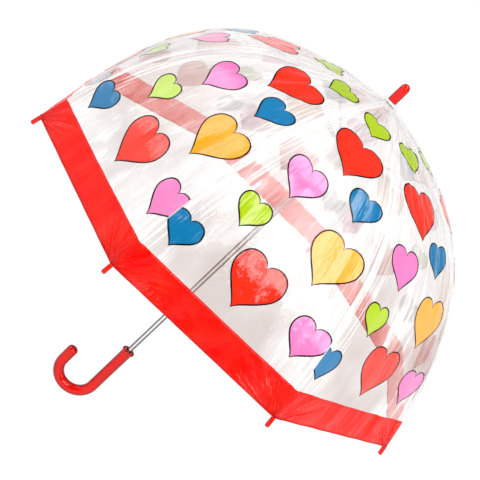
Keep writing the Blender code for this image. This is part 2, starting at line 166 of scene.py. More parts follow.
def turn_from_rib(azimuth):
    """Angle from the nearest rib, from minus to plus half a panel."""
    return azimuth % (2 * HALF_PANEL) - HALF_PANEL


def smooth(x):
    x = np.clip(x, 0.0, 1.0)
    return x * x * (3 - 2 * x)


def ripples(azimuth, t):
    """How far the film stands off its smooth shape: puckers at the rib tips, soft long waves."""
    turn = turn_from_rib(azimuth)
    radius = radius_at_t(t)
    aside = np.abs(turn) * radius
    above = ARC - arc_at_t(t)
    half = HALF_PANEL * radius
    reach = np.hypot(aside, above)
    fan = np.arctan2(aside, above)
    panel = np.floor(azimuth / (2 * HALF_PANEL))
    phase = 1.7 * panel + 0.9 * np.sign(turn)
    at_rib = smooth(aside / CALM_AT_RIB)
    calm = at_rib * smooth((half - aside) / 0.035)
    pucker = PUCKER_HEIGHT * np.exp(-reach / 0.055) * np.sin(11 * fan + phase) * calm
    pucker = pucker * smooth(reach / 0.03)
    folds = FOLD_HEIGHT * np.exp(-above / 0.045) * np.sin(aside / 0.0085 + phase * 1.3) * calm
    waves = LONG_WAVE * np.sin(41 * azimuth + 9 * t) * np.sin(7 * t + 3 * azimuth)
    waves = waves + SHORT_WAVE * np.sin(64 * azimuth - 14 * t + 1.0) * np.sin(16 * t + 2 * azimuth)
    return pucker + folds + waves * smooth(t / 0.15) * at_rib * smooth(above / 0.020)


def base_point(azimuth, t):
    """The film's smooth surface: straight at the hem, fuller towards the crown."""
    radius, height = profile(t)
    chord = math.cos(HALF_PANEL) / np.cos(HALF_PANEL - np.abs(turn_from_rib(azimuth)))
    bulge = PANEL_BULGE * (1.0 - t**3)
    radius = radius * (chord * (1.0 - bulge) + bulge)
    return np.stack([radius * np.cos(azimuth), radius * np.sin(azimuth), height], -1)


def square_to(surface, azimuth, t, step):
    """Unit normal of a surface, from its points a small step to each side."""
    left, right = surface(azimuth - step, t), surface(azimuth + step, t)
    low = surface(azimuth, np.clip(t + step, 0, 1))
    high = surface(azimuth, np.clip(t - step, 0, 1))
    normal = np.cross(low - high, right - left)
    return normal / np.linalg.norm(normal, axis=-1, keepdims=True)


def film_normal(azimuth, t):
    return square_to(base_point, azimuth, t, 0.002)


def film_point(azimuth, t, lift=0.0):
    off = ripples(azimuth, t) + lift
    return base_point(azimuth, t) + film_normal(azimuth, t) * off[..., None]


def shaded_normal(azimuth, t):
    """Normal of the rippled film, so that neighbouring pieces shade as one sheet."""
    return square_to(film_point, azimuth, t, 0.0015)


# ---- mesh helpers --------------------------------------------------------------------------
def new_object(name, verts, faces, mat=None, smooth_faces=True):
    mesh = bpy.data.meshes.new(name)
    mesh.from_pydata([tuple(map(float, v)) for v in verts], [], faces)
    mesh.polygons.foreach_set("use_smooth", [smooth_faces] * len(mesh.polygons))
    obj = bpy.data.objects.new(name, mesh)
    bpy.context.scene.collection.objects.link(obj)
    if mat is not None:
        mesh.materials.append(mat)
    return obj


def grid_faces(rows, cols):
    faces = []
    for i in range(rows - 1):
        for j in range(cols - 1):
            a = i * cols + j
            faces.append((a, a + cols, a + cols + 1, a + 1))
    return faces


def tube_faces(rings, sides):
    """Faces between neighbouring rings of points along a bar."""
    faces = []
    for low in range(0, (rings - 1) * sides, sides):
        for k in range(sides):
            nxt = (k + 1) % sides
            faces.append((low + k, low + nxt, low + sides + nxt, low + sides + k))
    return faces


def set_uv(obj, azimuth, across, down):
    """Two maps in metres: Cut is measured from the rib, Round runs on from panel to panel."""
    index = np.zeros(len(obj.data.loops), np.int32)
    obj.data.loops.foreach_get("vertex_index", index)
    azimuth = np.ravel(azimuth) % math.tau
    round_way = UV_RADIUS * (math.pi - np.abs(azimuth - math.pi))
    for name, sideways in (("Cut", np.ravel(across)), ("Round", round_way)):
        layer = obj.data.uv_layers.new(name=name)
        both = np.stack([sideways, np.ravel(down)], -1).astype(np.float32)
        layer.data.foreach_set("uv", both[index].ravel())


def film_patch(name, centre, azimuths, ts, mat):
    """An open sheet over a grid of azimuths and profile stations, centred on a rib's azimuth."""
    az, t = np.meshgrid(azimuths, ts)
    points = film_point(az, t)
    normals = shaded_normal(az, t)
    obj = new_object(name, points.reshape(-1, 3), grid_faces(*az.shape), mat)
    set_uv(obj, az, (az - centre) * radius_at_t(t), arc_at_t(t))
    obj.data.normals_split_custom_set_from_vertices(normals.reshape(-1, 3))
    return obj


def face_out(obj):
    work = bmesh.new()
    work.from_mesh(obj.data)
    bmesh.ops.recalc_face_normals(work, faces=work.faces)
    work.to_mesh(obj.data)
    work.free()


def lathe(name, profile_points, sides, mat):
    """A solid of revolution; a profile point of radius 0 closes it in one vertex."""
    verts, faces, rows = [], [], []
    for radius, height in profile_points:
        if radius == 0.0:
            rows.append([len(verts)] * sides)
            verts.append((0.0, 0.0, height))
            continue
        rows.append([len(verts) + k for k in range(sides)])
        for k in range(sides):
            angle = math.tau * k / sides
            verts.append((radius * math.cos(angle), radius * math.sin(angle), height))
    for low, high in zip(rows, rows[1:]):
        for k in range(sides):
            nxt = (k + 1) % sides
            face = list(dict.fromkeys((low[k], low[nxt], high[nxt], high[k])))
            if len(face) > 2:
                faces.append(face)
    obj = new_object(name, verts, faces, mat)
    face_out(obj)
    return obj


def sweep(name, centres, directions, radii, sides, side_axis, mat):
    """A round bar along a flat path; `side_axis` is the direction square to the path's plane."""
    verts = []
    side_axis = np.array(side_axis, float)
    for centre, along, radius in zip(centres, directions, radii):
        up = np.cross(side_axis, along)
        for k in range(sides):
            angle = math.tau * k / sides
            outward = math.cos(angle) * up + math.sin(angle) * side_axis
            verts.append(np.array(centre) + radius * outward)
    faces = tube_faces(len(radii), sides)
    faces.append(tuple(reversed(range(sides))))
    last = (len(radii) - 1) * sides
    faces.append(tuple(last + k for k in range(sides)))
    obj = new_object(name, verts, faces, mat)
    face_out(obj)
    return obj


# ---- materials -----------------------------------------------------------------------------
class Nodes:
    """A small wrapper that keeps the node set-ups short."""

    def __init__(self, name):
        self.mat = bpy.data.materials.new(name)
        self.mat.use_nodes = True
        self.tree = self.mat.node_tree
        self.shader = self.tree.nodes["Principled BSDF"]

    def add(self, kind, **values):
        node = self.tree.nodes.new(kind)
        for key, value in values.items():
            if key in node.inputs:
                node.inputs[key].default_value = value
            else:
                setattr(node, key, value)
        return node

    def link(self, out, into):
        self.tree.links.new(out, into)

    def coords(self, source, scale=(1.0, 1.0, 1.0)):
        """Object places, or one of the film's two maps, stretched by `scale`."""
        mapping = self.add("ShaderNodeMapping")
        mapping.inputs["Scale"].default_value = scale
        if source == "Object":
            self.link(self.add("ShaderNodeTexCoord").outputs["Object"], mapping.inputs["Vector"])
        else:
            film_map = self.add("ShaderNodeUVMap", uv_map=source)
            self.link(film_map.outputs["UV"], mapping.inputs["Vector"])
        return mapping.outputs["Vector"]

    def across_down(self, source):
        """The two distances of one of the film's maps."""
        split = self.add("ShaderNodeSeparateXYZ")
        self.link(self.coords(source), split.inputs["Vector"])
        return split.outputs["X"], split.outputs["Y"]

    def facing(self, blend):
        """0 where a face looks at the viewer, 1 where it is seen edge-on."""
        edge = self.add("ShaderNodeLayerWeight")
        edge.inputs["Blend"].default_value = blend
        return edge.outputs["Facing"]

    def noise(self, vector, scale, detail=3.0, rough=0.5):
        node = self.add("ShaderNodeTexNoise", Scale=scale, Detail=detail, Roughness=rough)
        self.link(vector, node.inputs["Vector"])
        return node.outputs["Fac"]

    def ramp(self, value, low, high, out_low, out_high):
        node = self.add("ShaderNodeMapRange")
        node.inputs["From Min"].default_value = low
        node.inputs["From Max"].default_value = high
        node.inputs["To Min"].default_value = out_low
        node.inputs["To Max"].default_value = out_high
        self.link(value, node.inputs["Value"])
        return node.outputs["Result"]

    def math(self, operation, a, b):
        node = self.add("ShaderNodeMath", operation=operation)
        for value, socket in ((a, node.inputs[0]), (b, node.inputs[1])):
            if isinstance(value, (int, float)):
                socket.default_value = value
            else:
                self.link(value, socket)
        return node.outputs[0]

    def times(self, a, b):
        return self.math("MULTIPLY", a, b)

    def at_most(self, value, limit):
        return self.math("MINIMUM", value, limit)

    def strip(self, value, start, full, still_full, end):
        """1 between two limits of a value, with a short fade on each side."""
        rising = self.ramp(value, start, full, 0.0, 1.0)
        falling = self.ramp(value, still_full, end, 1.0, 0.0)
        return self.times(rising, falling)

    def colours(self, value, first, second):
        node = self.add("ShaderNodeMix", data_type="RGBA")
        node.inputs[6].default_value = (*first, 1.0)
        node.inputs[7].default_value = (*second, 1.0)
        self.link(value, node.inputs[0])
        return node.outputs[2]

    def over(self, amount, below, colour):
        """Lays a colour over another socket's colour."""
        node = self.add("ShaderNodeMix", data_type="RGBA")
        node.inputs[7].default_value = (*colour, 1.0)
        self.link(amount, node.inputs[0])
        self.link(below, node.inputs[6])
        return node.outputs[2]

    def drive(self, out, name):
        self.link(out, self.shader.inputs[name])

    def fix(self, **values):
        """Constant settings of the shader, with _ for the blanks in their names."""
        for name, value in values.items():
            self.shader.inputs[name.replace("_", " ")].default_value = value

    def bump(self, height, strength, distance):
        node = self.add("ShaderNodeBump", Strength=strength, Distance=distance)
        self.link(height, node.inputs["Height"])
        self.link(node.outputs["Normal"], self.shader.inputs["Normal"])


def moulded_plastic(name, colour, painted_edge_shade):
    """Glossy moulding with painted shade: its colour darkens towards its silhouette edges, with a
    little random tone.
    """
    n = Nodes(name)
    where = n.coords("Object")
    cloud = n.noise(where, 35.0, 4.0)
    # Painted shade: the colour darkens where the surface turns edge-on to the viewer.
    painted_dark_rim = n.ramp(n.facing(0.5), 0.12, 0.62, 0.0, 1.0)
    light_and_shade_ramp = n.at_most(n.math("ADD", painted_dark_rim, n.ramp(cloud, 0.35, 0.65, 0.0, 0.15)), 1.0)
    n.drive(n.colours(light_and_shade_ramp, colour, painted_edge_shade), "Base Color")
    grain = n.noise(where, 500.0, 2.0)
    scuff = n.noise(n.coords("Object", (1.0, 1.0, 0.2)), 90.0, 4.0, 0.6)
    n.drive(n.ramp(scuff, 0.4, 0.75, 0.10, 0.20), "Roughness")
    n.bump(n.math("ADD", grain, n.times(cloud, 4.0)), 0.04, 0.0004)
    n.fix(Specular_IOR_Level=0.18, Coat_Weight=0.35, Coat_Roughness=0.04)
    return n.mat


def chrome_metal(name, colour, painted_rim_colour, low, high):
    """Bright metal with a painted dark reflection towards its silhouette edges, with fine drawn lines
    along its length.
    """
    n = Nodes(name)
    drawn = n.noise(n.coords("Object", (1.0, 1.0, 0.03)), 1400.0, 3.0)
    spots = n.noise(n.coords("Object"), 60.0, 5.0, 0.65)
    # Painted reflection: the colour turns dark where the surface is seen edge-on, as if it mirrored
    # dark surroundings.
    painted_dark_rim = n.ramp(n.facing(0.5), 0.08, 0.26, 0.0, 1.0)
    light_and_shade_ramp = n.at_most(n.math("ADD", painted_dark_rim, n.ramp(spots, 0.5, 0.8, 0.0, 0.2)), 1.0)
    n.drive(n.colours(light_and_shade_ramp, colour, painted_rim_colour), "Base Color")
    n.drive(n.ramp(n.math("ADD", drawn, spots), 0.7, 1.4, low, high), "Roughness")
    n.bump(drawn, 0.05, 0.0002)
    n.fix(Metallic=1.0)
    return n.mat


def rod_white(name):
    """White glass fibre with its fibres along the rod."""
    n = Nodes(name)
    fibres = n.noise(n.coords("Object", (1.0, 1.0, 0.1)), 700.0, 3.0)
    n.drive(n.colours(fibres, (0.93, 0.93, 0.92), (0.84, 0.85, 0.85)), "Base Color")
    n.drive(n.ramp(fibres, 0.3, 0.7, 0.22, 0.42), "Roughness")
    n.bump(fibres, 0.08, 0.0002)
    return n.mat


def film_height(n):
    """Creases and soft dents of vinyl film, calmer at the crown; also its folds and its dents."""
    long_folds = n.noise(n.coords("Round", (1.0, 0.22, 1.0)), 60.0, 4.0, 0.55)
    dents = n.noise(n.coords("Round", (1.0, 0.8, 1.0)), 24.0, 3.0, 0.5)
    fine = n.noise(n.coords("Round", (1.0, 0.07, 1.0)), 170.0, 3.0, 0.55)
    large = n.math("ADD", long_folds, n.times(dents, 1.2))
    _, down = n.across_down("Round")
    calm = n.ramp(down, 0.03, 0.22, 0.10, 1.0)
    return n.times(n.math("ADD", large, n.times(fine, 0.30)), calm), long_folds, dents


def clear_vinyl(name):
    """Clear film: a thin grey veil with painted shade that darkens it to brown towards the hem, and
    painted sheen and glare as milky patches and white streaks.
    """
    n = Nodes(name)
    height, long_folds, dents = film_height(n)
    n.bump(height, 0.9, 0.0050)
    across, down = n.across_down("Cut")
    side = n.math("ABSOLUTE", across, 0.0)
    calm = n.ramp(down, 0.05, 0.20, 0.25, 1.0)
    cloud = n.noise(n.coords("Round", (1.0, 0.55, 1.0)), 9.0, 3.0, 0.55)
    # Painted sheen: milky patches that stand in for the film mirroring the bright lights.
    patch = n.ramp(cloud, 0.42, 0.60, 0.0, 1.0)
    # Painted glare streaks: broken ones where the film is creased, and fine lines along each rib.
    fine = n.noise(n.coords("Round", (1.0, 0.10, 1.0)), 120.0, 4.0, 0.6)
    ridges = n.times(n.ramp(long_folds, 0.50, 0.60, 0.0, 1.0), n.ramp(fine, 0.48, 0.58, 0.25, 1.0))
    broken = n.times(n.times(ridges, calm), n.ramp(cloud, 0.46, 0.58, 0.15, 1.0))
    lines = n.noise(n.coords("Cut", (1.0, 0.025, 1.0)), 300.0, 2.0)
    beside = n.times(n.ramp(lines, 0.53, 0.60, 0.0, 1.0), n.ramp(side, 0.008, 0.045, 0.9, 0.0))
    painted_glare = n.math("MAXIMUM", broken, n.times(beside, calm))
    # The painted sheen and glare lay white over the veil's colour.
    white = n.at_most(n.math("ADD", n.times(patch, 0.60), painted_glare), 1.0)
    # Painted shade: the veil darkens and turns brown towards the hem, where the film mirrors less
    # light.
    low = n.ramp(n.math("ADD", down, n.times(cloud, 0.10)), 0.30, 0.44, 0.0, 1.0)
    veil = n.colours(low, (0.82, 0.79, 0.775), (0.26, 0.105, 0.06))
    n.drive(n.over(white, veil, (1.0, 0.99, 0.98)), "Base Color")
    haze = n.math("ADD", n.times(painted_glare, 0.42), n.ramp(patch, 0.0, 1.0, 0.42, 0.46))
    alpha = n.math("ADD", haze, n.times(n.facing(0.35), 0.16))
    n.drive(n.at_most(alpha, 0.92), "Alpha")
    n.drive(n.ramp(dents, 0.3, 0.7, 0.03, 0.09), "Roughness")
    n.fix(IOR=1.53, Coat_Weight=1.0, Coat_Roughness=0.05)
    return n.mat


def tip_puckers(n, across, down):
    """Wrinkles that fan out from the rib's tip, and how near the tip a place is."""
    above = n.math("SUBTRACT", ARC + 0.004, down)
    fan = n.math("ARCTAN2", across, above)
    reach = n.math("SQRT", n.math("ADD", n.times(above, above), n.times(across, across)), 0.0)
    place = n.add("ShaderNodeCombineXYZ")
    n.link(fan, place.inputs["X"])
    n.link(n.times(reach, 2.0), place.inputs["Y"])
    return n.noise(place.outputs["Vector"], 7.0, 3.0, 0.55), n.ramp(reach, 0.012, 0.085, 1.0, 0.0)


def band_vinyl(name):
    """Opaque red vinyl with a weld along its top, one on each side of the rib, and a folded hem."""
    n = Nodes(name)
    height, long_folds, dents = film_height(n)
    across, down = n.across_down("Cut")
    top = ARC - BAND_WIDTH
    weld = n.ramp(down, top + 0.0014, top + 0.0024, 1.0, 0.0)
    seam = n.strip(n.math("ABSOLUTE", across, 0.0), 0.0030, 0.0036, 0.0042, 0.0048)
    hem = n.ramp(down, ARC - 0.0026, ARC - 0.0018, 0.0, 1.0)
    lines = n.math("MAXIMUM", weld, seam)
    red = n.colours(n.ramp(dents, 0.3, 0.7, 0.0, 1.0), (0.84, 0.000, 0.000), (0.92, 0.012, 0.002))
    lined = n.over(n.times(lines, 0.55), red, (0.55, 0.004, 0.002))
    n.drive(n.over(n.times(hem, 0.55), lined, (0.42, 0.005, 0.003)), "Base Color")
    puckers, near = tip_puckers(n, across, down)
    relief = n.math("ADD", n.times(height, 0.7), n.times(puckers, n.times(near, 2.2)))
    n.bump(n.math("ADD", relief, n.times(n.math("ADD", lines, hem), -0.12)), 0.85, 0.0030)
    n.drive(n.ramp(long_folds, 0.3, 0.7, 0.14, 0.30), "Roughness")
    n.fix(Specular_IOR_Level=0.22)
    return n.mat


def tape_vinyl(name):
    """The welded seam over a rib: a milky strip with a denser line along each weld."""
    n = Nodes(name)
    across, _ = n.across_down("Cut")
    weld = n.strip(n.math("ABSOLUTE", across, 0.0), 0.0022, 0.0030, 0.0038, 0.0046)
    mottle = n.noise(n.coords("Round", (1.0, 0.4, 1.0)), 140.0, 4.0, 0.6)
    n.drive(n.colours(weld, (0.97, 0.965, 0.955), (0.97, 0.93, 0.91)), "Base Color")
    n.drive(n.math("ADD", n.ramp(mottle, 0.3, 0.7, 0.34, 0.56), n.times(weld, 0.28)), "Alpha")
    n.drive(n.ramp(mottle, 0.3, 0.7, 0.12, 0.30), "Roughness")
    n.bump(n.math("ADD", mottle, weld), 0.35, 0.0010)
    n.fix(Coat_Weight=0.6)
    return n.mat


def ink(name, colour, gloss=0.45):
    """Printed ink that follows the film's creases."""
    n = Nodes(name)
    height, long_folds, dents = film_height(n)
    light = tuple(min(1.0, c * 1.06 + 0.006) for c in colour)
    n.drive(n.colours(n.ramp(dents, 0.35, 0.65, 0.0, 1.0), colour, light), "Base Color")
    n.drive(n.ramp(long_folds, 0.3, 0.7, 0.06, 0.15), "Roughness")
    n.bump(height, 0.6, 0.0032)
    n.fix(Specular_IOR_Level=gloss, Coat_Weight=gloss, Coat_Roughness=0.07)
    return n.mat


def floor_paper(name):
    """White ground, nearly all glow, so that the floor stays as pale as the background."""
    n = Nodes(name)
    mottle = n.noise(n.coords("Object"), 3.0, 3.0)
    n.drive(n.colours(mottle, (0.12, 0.12, 0.12), (0.11, 0.11, 0.11)), "Base Color")
    n.drive(n.ramp(mottle, 0.3, 0.7, 0.75, 0.95), "Roughness")
    n.fix(Specular_IOR_Level=0.0, Emission_Color=(1.0, 1.0, 1.0, 1.0), Emission_Strength=0.97)
    return n.mat


# The second colour of each moulding is painted shade at its silhouette edges; the second colour of each
# metal is a painted dark reflection there.
RED = moulded_plastic("red_moulding", (0.94, 0.006, 0.001), (0.26, 0.000, 0.000))
WHITE = moulded_plastic("white_moulding", (0.88, 0.88, 0.86), (0.70, 0.70, 0.68))
CHROME = chrome_metal("chrome", (0.90, 0.90, 0.90), (0.09, 0.09, 0.095), 0.06, 0.18)
WIRE = chrome_metal("zinc_wire", (0.80, 0.80, 0.80), (0.42, 0.42, 0.43), 0.22, 0.40)
ROD = rod_white("glass_fibre")
CLEAR = clear_vinyl("clear_vinyl")
BAND = band_vinyl("red_vinyl")
TAPE = tape_vinyl("seam_tape")
INKS = {name: ink("ink_" + name, colour) for name, colour in INK.items()}
BLACK = ink("ink_outline", (0.002, 0.001, 0.002), 0.08)


# ---- printed hearts ------------------------------------------------------------------------
def bezier(p0, p1, p2, p3, count):
    t = np.linspace(0.0, 1.0, count)[:, None]
    p0, p1, p2, p3 = map(np.array, (p0, p1, p2, p3))
    return (1 - t) ** 3 * p0 + 3 * (1 - t) ** 2 * t * p1 + 3 * (1 - t) * t**2 * p2 + t**3 * p3


def heart_outline():
    """A heart one unit high, point at the origin, lobes up, anticlockwise from the point."""
    side = bezier((0.0, 0.0), (0.10, 0.20), (0.545, 0.40), (0.53, 0.70), 18)
    lobe = bezier((0.53, 0.70), (0.52, 1.10), (0.06, 1.08), (0.0, 0.86), 18)
    right = np.concatenate([side[:-1], lobe])
    left = right[1:-1][::-1] * (-1.0, 1.0)
    return np.concatenate([right, left])


HEART = heart_outline()
HEART_CENTRE = np.array((0.0, 0.5))
HEART_MIDDLE = np.array((0.0, 0.58))
RING_SHARES = (0.85, 0.68, 0.5, 0.32, 0.15)


def heart_rings(height):
    """Rings of points from the outer edge inwards, in metres, and the point in their middle."""
    outer = (HEART - HEART_CENTRE) * height
    middle = (HEART_MIDDLE - HEART_CENTRE) * height
    reach = np.linalg.norm(outer - middle, axis=1, keepdims=True)
    inner = outer - (outer - middle) / reach * OUTLINE_WIDTH
    rings = [outer, inner]
    for share in RING_SHARES:
        rings.append(middle + (inner - middle) * share)
    return rings, middle


def flat_heart(work, across, down, height, slot):
    """Adds a heart to `work` laid flat: x is the turn from the panel's middle, y the arc down."""

    def put(x, y):
        arc = down - y
        return work.verts.new(((across + x) / float(radius_at_t(t_at_arc(arc))), arc, 0.0))

    rings, middle = heart_rings(height)
    rows = [[put(x, y) for x, y in ring] for ring in rings]
    centre = put(*middle)
    count = len(HEART)
    for i, (outer, inner) in enumerate(zip(rows, rows[1:])):
        for k in range(count):
            nxt = (k + 1) % count
            face = work.faces.new((outer[k], outer[nxt], inner[nxt], inner[k]))
            face.material_index = 0 if i == 0 else slot
    for k in range(count):
        face = work.faces.new((rows[-1][k], rows[-1][(k + 1) % count], centre))
        face.material_index = slot


def keep_side(work, point, normal):
    """Cuts the flat print along a line and drops what lies on the normal's side."""
    geometry = list(work.verts) + list(work.edges) + list(work.faces)
    bmesh.ops.bisect_plane(work, geom=geometry, dist=1e-7, plane_co=point, plane_no=normal,
                           clear_outer=True)


def flat_print(panel, side, upper):
    """The flat print of one half panel: side -1 before the middle, +1 after it."""
    work = bmesh.new()
    for colour, across, down, height in HEARTS:
        flat_heart(work, across * PRINT_SIDE[panel], down, height, 1 + INK_ORDER.index(colour))
    bmesh.ops.translate(work, verts=work.verts, vec=(PRINT_TURN[panel], 0.0, 0.0))
    keep_side(work, (-HALF_PANEL + PRINT_EDGE, 0.0, 0.0), (-1.0, 0.0, 0.0))
    keep_side(work, (0.0, 0.0, 0.0), (-side, 0.0, 0.0))
    keep_side(work, (side * (HALF_PANEL - PRINT_EDGE), 0.0, 0.0), (side, 0.0, 0.0))
    flex_arc = float(arc_at_t(FLEX_AT))
    keep_side(work, (0.0, flex_arc, 0.0), (0.0, 1.0 if upper else -1.0, 0.0))
    return work


def build_print(k, upper):
    """The printed hearts on rib k's film, above or below the flex line, as one piece."""
    verts, faces, slots, uvs = [], [], [], []
    for side in (1, -1):
        work = flat_print((k + (side + 1) // 2) % RIBS, -side, upper)
        work.verts.index_update()
        start = len(verts)
        middle = rib_azimuth(k) + side * HALF_PANEL
        flat = np.array([v.co[:] for v in work.verts], float).reshape(-1, 3)
        if len(flat):
            t = t_at_arc(flat[:, 1])
            azimuth = middle + flat[:, 0]
            verts += list(film_point(azimuth, t, PRINT_LIFT))
            across = (azimuth - rib_azimuth(k)) * radius_at_t(t)
            uvs += list(np.stack([azimuth, across, flat[:, 1]], -1))
        for face in work.faces:
            faces.append(tuple(start + v.index for v in face.verts))
            slots.append(face.material_index)
        work.free()
    obj = new_object(("crown_print_" if upper else "skirt_print_") + str(k + 1), verts, faces)
    for mat in (BLACK, *(INKS[c] for c in INK_ORDER)):
        obj.data.materials.append(mat)
    obj.data.polygons.foreach_set("material_index", slots)
    set_uv(obj, *np.array(uvs).T)
    return obj


def settle(obj, body):
    """Rides on the rib's body, with a mesh of its own."""
    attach(obj, body)
    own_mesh(obj)


def hem_bead(k):
    """The thin folded edge that closes the hem."""
    steps, sides = 61, 8
    azimuths = rib_azimuth(k) + np.linspace(-HALF_PANEL, HALF_PANEL, steps)
    base = film_point(azimuths, np.ones(steps))
    out = film_normal(azimuths, np.ones(steps))
    down = np.array((0.0, 0.0, -1.0))
    verts = []
    for point, normal in zip(base, out):
        for j in range(sides):
            angle = math.tau * j / sides
            around = math.cos(angle) * normal + HEM_STRETCH * math.sin(angle) * down
            verts.append(point + HEM_R * around)
    obj = new_object("hem_" + str(k + 1), verts, tube_faces(steps, sides), BAND)
    beyond_seam = np.full(len(verts), 0.05)
    set_uv(obj, np.repeat(azimuths, sides), beyond_seam, np.full(len(verts), ARC))
    face_out(obj)
    return obj


def build_film(k):
    """Everything that rib k carries: film, band, hem, seam strips and print."""
    label = str(k + 1)
    azimuth = rib_azimuth(k)
    start = float(np.interp(HOLE_R, FINE_R, FINE_T))
    band_at = float(t_at_arc(ARC - BAND_WIDTH))

    def patch(name, columns, t_from, t_to, rows, mat):
        spread = azimuth + np.linspace(-HALF_PANEL, HALF_PANEL, columns)
        return film_patch(name + label, azimuth, spread, np.linspace(t_from, t_to, rows), mat)

    crown = patch("crown_sheet_", 41, start, FLEX_AT, 34, CLEAR)
    skirt = patch("skirt_sheet_", 41, FLEX_AT, band_at, 64, CLEAR)
    band = patch("border_band_", 73, band_at, 1.0, 16, BAND)
    upper_ends = (start + TAPE_START, FLEX_AT - TAPE_GAP)
    lower_ends = (FLEX_AT + TAPE_GAP, band_at + TAPE_LAP)
    upper_tape = build_tape("crown_seam_" + label, azimuth, *upper_ends, 40)
    lower_tape = build_tape("skirt_seam_" + label, azimuth, *lower_ends, 90)
    upper_print, lower_print = build_print(k, True), build_print(k, False)
    hem = hem_bead(k)
    upper_body, lower_body = "upper_rib_" + label, "lower_rib_" + label
    for obj in (crown, upper_tape, upper_print):
        settle(obj, upper_body)
    for obj in (skirt, band, lower_tape, lower_print, hem):
        settle(obj, lower_body)
    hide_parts("crown_film_" + label)
    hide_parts("skirt_film_" + label)


def build_tape(name, azimuth, t_from, t_to, rows):
    """The seam strip over a rib, a constant width apart from the narrowing at the crown."""
    columns = 9
    ts = np.linspace(t_from, t_to, rows)
    half = np.minimum(TAPE_HALF / radius_at_t(ts), HALF_PANEL * 0.8)
    az = azimuth + half[:, None] * np.linspace(-1.0, 1.0, columns)[None, :]
    t = np.repeat(ts[:, None], columns, axis=1)
    points = film_point(az, t, TAPE_LIFT)
    obj = new_object(name, points.reshape(-1, 3), grid_faces(rows, columns), TAPE)
    set_uv(obj, az, (az - azimuth) * radius_at_t(t), arc_at_t(t))
    return obj


# ---- hard pieces ---------------------------------------------------------------------------
def build_handle():
    """The crook, one moulding: flared collar, straight grip, half-circle bend, rounded end."""
    centres, directions, radii = [], [], []

    def put(x, z, along, radius):
        centres.append((x, 0.0, z))
        directions.append(np.array((along[0], 0.0, along[1]), float))
        radii.append(radius)

    down = (0.0, -1.0)
    c = COLLAR_R
    # Down from the collar's top: depth below it and radius.
    collar = ((0.0010, 0.0050), (0.0, 0.0056), (0.0, c * 0.84), (0.0003, c * 0.93), (0.0010, c * 0.985),
              (0.0019, c), (0.0029, c * 0.985), (0.0037, c * 0.94), (0.0043, c * 0.88),
              (0.0047, GRIP_R * 0.985), (0.0052, GRIP_R * 0.97), (0.0060, GRIP_R))
    for drop, radius in collar:
        put(0.0, HANDLE_TOP - drop, down, radius)
    bend_z = CROOK_R + GRIP_R
    for z in np.linspace(HANDLE_TOP - COLLAR_LEN, bend_z, 8):
        put(0.0, z, down, GRIP_R)
    steps = 44
    for i in range(1, steps + 1):
        angle = math.pi * i / steps
        put(-CROOK_R + CROOK_R * math.cos(angle), bend_z - CROOK_R * math.sin(angle),
            (-math.sin(angle), -math.cos(angle)), GRIP_R)
    free_x, up = -2 * CROOK_R, (0.0, 1.0)
    straight = FREE_END_Z - END_ROUND
    put(free_x, straight, up, GRIP_R)
    for i in range(1, 7):
        angle = math.pi / 2 * i / 7
        put(free_x, straight + END_ROUND * math.sin(angle), up,
            GRIP_R - END_ROUND + END_ROUND * math.cos(angle))
    put(free_x, FREE_END_Z, up, GRIP_R - END_ROUND)
    put(free_x, FREE_END_Z, up, 0.0010)
    obj = sweep("handle_moulding", centres, directions, radii, 40, (0.0, 1.0, 0.0), RED)
    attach(obj, "frame")
    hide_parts("crook_handle")


def build_ferrule():
    """The red cap on the crown: a lip, a groove and a round-ended barrel."""
    base, tip = FERRULE_Z
    shoulder = tip - FERRULE_ROUND
    r = FERRULE_R
    rows = [(SHAFT_R + GAP, base), (r * 0.93, base), (r, base + 0.0006), (r, base + 0.0020),
            (r * 0.965, base + 0.0026), (r * 0.965, base + 0.0034), (r * 0.985, base + 0.0042),
            (r * 0.98, base + 0.0120), (r * 0.95, shoulder)]
    for i in range(1, 12):
        angle = math.pi / 2 * i / 12
        rows.append((r * 0.95 * math.cos(angle), shoulder + FERRULE_ROUND * math.sin(angle)))
    rows.append((0.0, tip))
    obj = lathe("ferrule_moulding", rows, 40, RED)
    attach(obj, "frame")
    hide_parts("ferrule_cap")


def tip_place(k):
    """Origin and lean of a rib tip, as the frame has it: at the rib's end and along it."""
    radii, heights = profile(np.array([1.0, 0.999]))
    r, z = float(radii[0]), float(heights[0])
    dr, dz = r - float(radii[1]), z - float(heights[1])
    size = math.hypot(dr, dz)
    dr, dz = dr / size, dz / size
    base = (r + dz * RIB_DEPTH + dr * GAP, z - dr * RIB_DEPTH + dz * GAP)
    lean = Matrix.Rotation(math.atan2(dr, dz), 4, "Y")
    turn = Matrix.Rotation(rib_azimuth(k), 4, "Z")
    return turn @ Matrix.Translation((base[0], 0.0, base[1])) @ lean


def build_tips():
    """Red caps: straight sleeves with a softened mouth and a rounded end."""
    r, length = TIP_R, TIP_LEN
    rows = [(ROD_R + GAP, 0.0006), (ROD_R + GAP, 0.0), (r * 0.86, 0.0), (r * 0.95, 0.0003),
            (r * 0.98, 0.0012), (r, length * 0.30), (r, length * 0.82), (r * 0.97, length * 0.90),
            (r * 0.86, length * 0.955), (r * 0.62, length * 0.988), (r * 0.30, length * 0.998),
            (0.0, length)]
    for k in range(RIBS):
        label = str(k + 1)
        obj = lathe("tip_moulding_" + label, rows, 28, RED)
        obj.data.transform(tip_place(k))
        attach(obj, "lower_rib_" + label)
        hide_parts("rib_tip_" + label)


